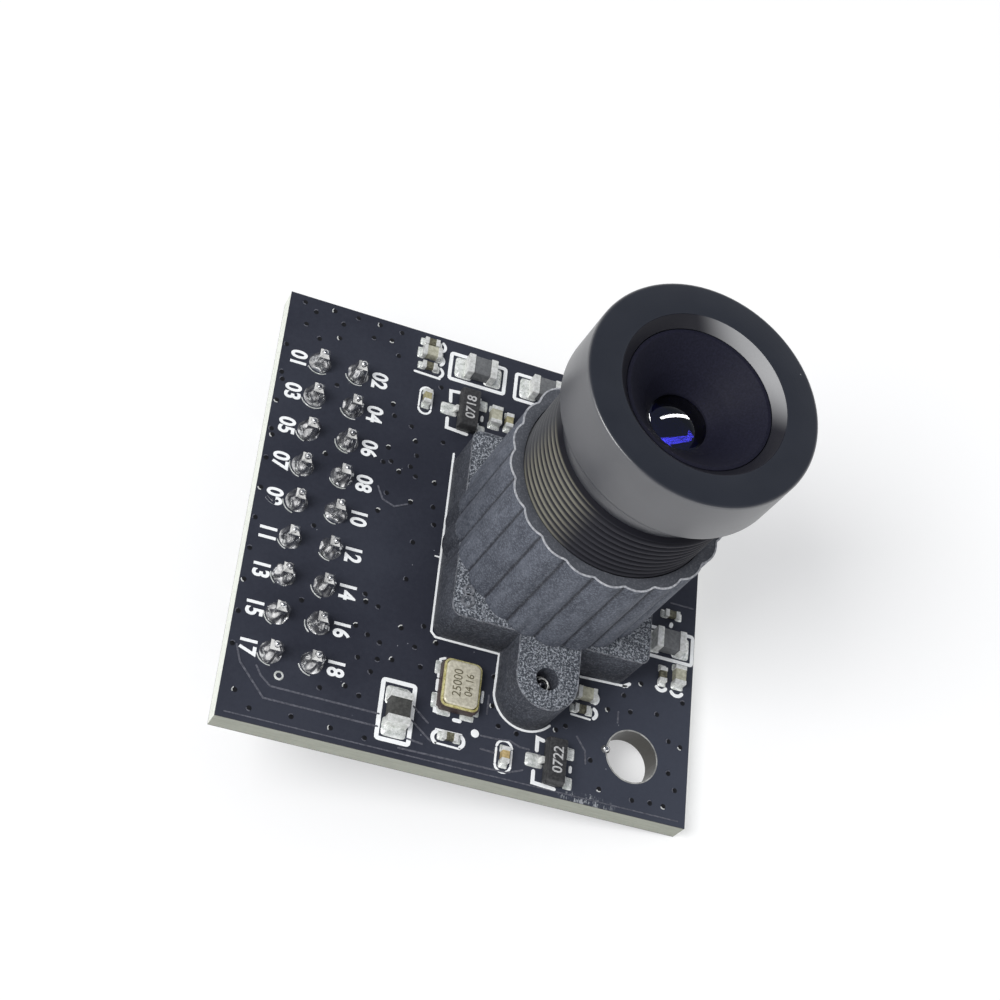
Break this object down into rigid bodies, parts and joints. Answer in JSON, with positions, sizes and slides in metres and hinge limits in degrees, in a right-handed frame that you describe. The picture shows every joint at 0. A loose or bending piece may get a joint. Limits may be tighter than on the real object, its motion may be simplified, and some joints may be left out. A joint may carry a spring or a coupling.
{
  "type": "camera module",
  "caption": "Small circuit board with an image sensor under a screw-focused lens in a fluted holder, surface-mount parts beside it and a two-row pin header underneath.",
  "frame": {"origin": "under the centre of the square board, at the level of the header pins' lower tips", "axes": "+Z is the way the lens looks, +X runs from the header's side of the board to the side with the mounting holes, +Y completes a right-handed frame"},
  "size_m": [0.0296, 0.0296, 0.0332],
  "materials": {
    "board_mask": "black solder mask with a blue tint over pale glass-epoxy laminate, white print",
    "header_plastic": "black moulded plastic",
    "tinned_pins": "bright tin plate over brass",
    "solder": "bright solder and tinned metal",
    "holder_plastic": "dark grey glass-filled moulding with a speckled matt skin",
    "screw_steel": "plain steel",
    "white_ceramic": "white alumina",
    "silicon": "polished silicon with a faint colour shift",
    "clear_glass": "clear flat glass",
    "filter_glass": "pale cyan filter glass",
    "barrel_metal": "black anodised, satin",
    "ring_metal": "black anodised, matt",
    "lens_glass": "coated optical glass",
    "spacer_metal": "blackened, matt",
    "dark_ceramic": "brown-purple ceramic",
    "lid_metal": "pale gold plated lid",
    "chip_moulding": "dark grey moulded epoxy",
    "bead_ceramic": "grey ferrite",
    "tan_ceramic": "tan ceramic with silver ends",
    "resistor_body": "dark film on ceramic with silver ends"
  },
  "bodies": {
    "module": {"capacitor_1": "tan_ceramic", "capacitor_2": "tan_ceramic", "capacitor_3": "tan_ceramic", "capacitor_4": "tan_ceramic", "capacitor_5": "tan_ceramic", "capacitor_6": "tan_ceramic", "capacitor_7": "tan_ceramic", "circuit_board": "board_mask", "ferrite_bead_1_body": "bead_ceramic", "ferrite_bead_1_terminals": "solder", "ferrite_bead_2_body": "bead_ceramic", "ferrite_bead_2_terminals": "solder", "ferrite_bead_3_body": "bead_ceramic", "ferrite_bead_3_terminals": "solder", "ferrite_bead_4_body": "bead_ceramic", "ferrite_bead_4_terminals": "solder", "header_block": "header_plastic", "header_pins": "tinned_pins", "holder_screws": "screw_steel", "infrared_filter": "filter_glass", "lens_holder": "holder_plastic", "oscillator_base": "dark_ceramic", "oscillator_lid": "lid_metal", "regulator_1_body": "chip_moulding", "regulator_1_legs": "solder", "regulator_2_body": "chip_moulding", "regulator_2_legs": "solder", "resistor_1": "resistor_body", "resistor_2": "resistor_body", "resistor_3": "resistor_body", "resistor_4": "resistor_body", "resistor_5": "resistor_body", "resistor_6": "resistor_body", "sensor_cover_glass": "clear_glass", "sensor_die": "silicon", "sensor_package": "white_ceramic", "solder_joints": "solder"},
    "lens_stack": {"rear_lens": "lens_glass", "rear_spacer": "spacer_metal", "middle_lens": "lens_glass", "front_spacer": "spacer_metal", "front_lens": "lens_glass"},
    "barrel": {"lens_barrel": "barrel_metal", "front_retaining_ring": "ring_metal"}
  },
  "joints": [
    {"name": "focus_travel", "type": "slide", "parent": "module", "child": "lens_stack", "axis": [0, 0, 1], "range_m": [-0.002, 0.002]},
    {"name": "focus_turn", "type": "hinge", "parent": "lens_stack", "child": "barrel", "pos_m": [0.0038, 0, 0.02], "axis": [0, 0, 1], "range_deg": [-1440, 1440]}
  ],
  "couplings": [
    {"joint": "focus_turn", "follows": "focus_travel", "rad_per_m": 12566}
  ]
}
